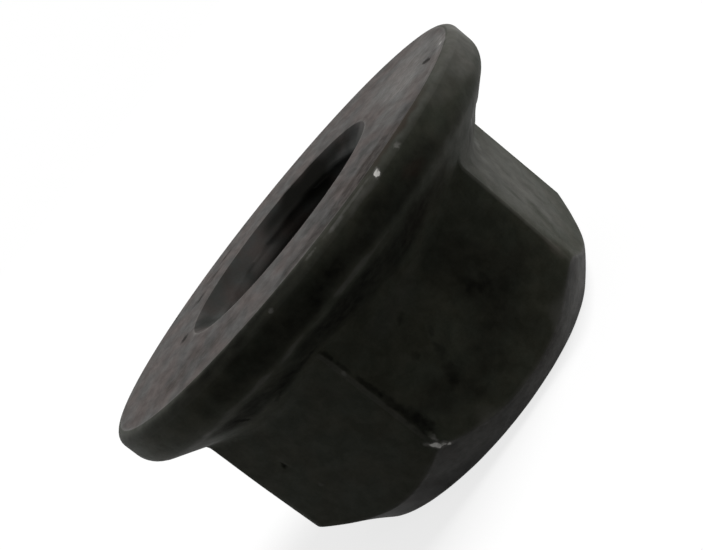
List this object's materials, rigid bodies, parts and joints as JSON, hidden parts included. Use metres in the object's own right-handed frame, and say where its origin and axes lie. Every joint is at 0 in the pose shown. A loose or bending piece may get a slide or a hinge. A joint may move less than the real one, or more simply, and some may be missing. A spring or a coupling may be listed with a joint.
{
  "type": "flange nut",
  "caption": "Hexagon nut with an integral round flange, a plain flat bearing face, a countersunk bore for a coarse metric thread and a chamfered free end.",
  "frame": {"origin": "centre of the hexagon's free end, on which the nut stands", "axes": "+Z along the thread, from the hexagon's free end towards the flange's bearing face; X through two corners of the hexagon"},
  "size_m": [0.0252, 0.0252, 0.0127],
  "materials": {
    "blackened_steel": "matte black oxide over forged and turned steel, worn grey on the edges and the bearing face"
  },
  "bodies": {
    "root": {"flange_nut": "blackened_steel"}
  },
  "joints": []
}
